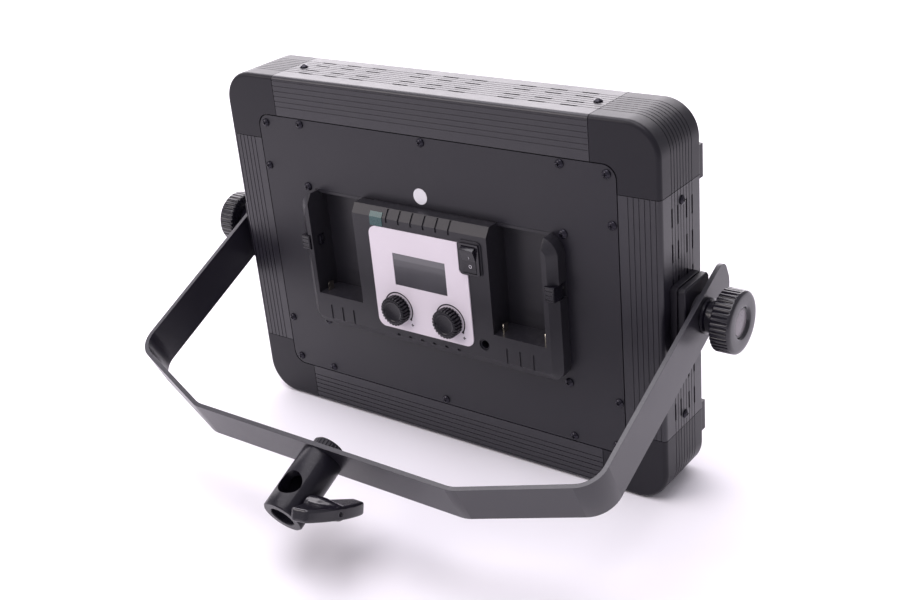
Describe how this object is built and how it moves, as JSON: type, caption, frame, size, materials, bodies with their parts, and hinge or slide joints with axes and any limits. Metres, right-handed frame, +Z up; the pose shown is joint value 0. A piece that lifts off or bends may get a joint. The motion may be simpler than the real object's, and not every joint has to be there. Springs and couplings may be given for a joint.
{
  "type": "led panel light",
  "caption": "Flat rectangular light with grooved frame, rear controls and two battery bays, carried in a tilting yoke with hand knobs and a stand socket.",
  "frame": {"origin": "centre of the underside of the light head, the face it stands on", "axes": "+Z up; +Y out of the rear face with the controls, the light leaves along -Y; +X to the left of an operator who looks at the controls"},
  "size_m": [0.4172, 0.2375, 0.2517],
  "materials": {
    "profile_black": "black anodised, satin",
    "moulded_black": "fine moulded grain",
    "cover_black": "satin black powder coat",
    "housing_black": "satin moulded",
    "screw_black": "black oxide, slightly glossy",
    "diffuser_white": "translucent opal",
    "board_white": "white solder mask",
    "led_phosphor": "yellow phosphor in clear resin",
    "bare_aluminium": "mill finish",
    "board_green": "green solder mask",
    "bright_metal": "plated steel",
    "display_grey": "liquid crystal glass",
    "display_glass": "clear polished window",
    "plate_silver": "matte silver print",
    "knob_black": "semi-gloss moulded",
    "switch_black": "semi-gloss moulded",
    "film_green": "clear teal peel-off film",
    "sticker_white": "blank matte sticker",
    "contact_brass": "plated blades",
    "washer_rubber": "matte",
    "yoke_powder_coat": "satin black powder coat",
    "receiver_black": "satin black anodised"
  },
  "bodies": {
    "head": {"top_profile": "profile_black", "bottom_profile": "profile_black", "left_profile": "profile_black", "right_profile": "profile_black", "top_left_corner": "moulded_black", "top_right_corner": "moulded_black", "bottom_left_corner": "moulded_black", "bottom_right_corner": "moulded_black", "profile_screws": "screw_black", "rear_cover": "cover_black", "cover_screws": "screw_black", "diffuser_panel": "diffuser_white", "diffuser_frame": "moulded_black", "led_board": "board_white", "led_chips": "led_phosphor", "heat_spreader": "bare_aluminium", "driver_board": "board_green", "board_standoffs": "bright_metal", "battery_control_housing": "housing_black", "housing_screws": "screw_black", "control_board": "board_green", "display_module": "display_grey", "display_window": "display_glass", "face_plate": "plate_silver", "brightness_encoder": "bright_metal", "colour_encoder": "bright_metal", "rocker_frame": "switch_black", "dc_jack": "moulded_black", "dc_pin": "bright_metal", "film_tab": "film_green", "round_sticker": "sticker_white", "left_terminal_block": "moulded_black", "right_terminal_block": "moulded_black", "left_battery_contacts": "contact_brass", "right_battery_contacts": "contact_brass", "left_catch_spring": "bright_metal", "right_catch_spring": "bright_metal", "accessory_clips": "moulded_black", "clip_screws": "screw_black", "left_pivot_block": "moulded_black", "right_pivot_block": "moulded_black", "left_friction_washer": "washer_rubber", "right_friction_washer": "washer_rubber"},
    "yoke": {"yoke_bar": "yoke_powder_coat", "stand_receiver": "receiver_black", "receiver_bolt": "receiver_black"},
    "lock": {"lock_screw": "screw_black", "wing_handle": "knob_black"},
    "left_clamp": {"left_clamp_knob": "knob_black", "left_clamp_stud": "bright_metal"},
    "right_clamp": {"right_clamp_knob": "knob_black", "right_clamp_stud": "bright_metal"},
    "brightness_dial": {"brightness_knob": "knob_black", "brightness_shaft": "bright_metal"},
    "colour_dial": {"colour_knob": "knob_black", "colour_shaft": "bright_metal"},
    "rocker": {"rocker_paddle": "switch_black"},
    "left_catch": {"left_release_catch": "switch_black"},
    "right_catch": {"right_release_catch": "switch_black"}
  },
  "joints": [
    {"name": "yoke_tilt", "type": "hinge", "parent": "head", "child": "yoke", "pos_m": [0, -0.001, 0.125], "axis": [1, 0, 0], "range_deg": [-150, 110]},
    {"name": "lock_turn", "type": "hinge", "parent": "yoke", "child": "lock", "pos_m": [0, 0.17996, 0.03984], "axis": [-0.9848, 0.0739, 0.1571], "range_deg": [0, 360]},
    {"name": "left_clamp_turn", "type": "hinge", "parent": "head", "child": "left_clamp", "pos_m": [0.19, -0.001, 0.125], "axis": [1, 0, 0], "range_deg": [0, 360]},
    {"name": "right_clamp_turn", "type": "hinge", "parent": "head", "child": "right_clamp", "pos_m": [-0.19, -0.001, 0.125], "axis": [-1, 0, 0], "range_deg": [0, 360]},
    {"name": "brightness_turn", "type": "hinge", "parent": "head", "child": "brightness_dial", "pos_m": [0.022, 0.04, 0.103], "axis": [0, 1, 0], "range_deg": [-135, 135]},
    {"name": "colour_turn", "type": "hinge", "parent": "head", "child": "colour_dial", "pos_m": [-0.021, 0.04, 0.103], "axis": [0, 1, 0], "range_deg": [-135, 135]},
    {"name": "rocker_tip", "type": "hinge", "parent": "head", "child": "rocker", "pos_m": [-0.0416, 0.0364, 0.1506], "axis": [1, 0, 0], "range_deg": [0, 20]},
    {"name": "left_catch_press", "type": "slide", "parent": "head", "child": "left_catch", "axis": [0, -1, 0], "range_m": [0, 0.0025], "stiffness_N_per_m": 800, "springref_m": -0.001, "deforming": ["left_catch_spring"]},
    {"name": "right_catch_press", "type": "slide", "parent": "head", "child": "right_catch", "axis": [0, -1, 0], "range_m": [0, 0.0025], "stiffness_N_per_m": 800, "springref_m": -0.001, "deforming": ["right_catch_spring"]}
  ]
}
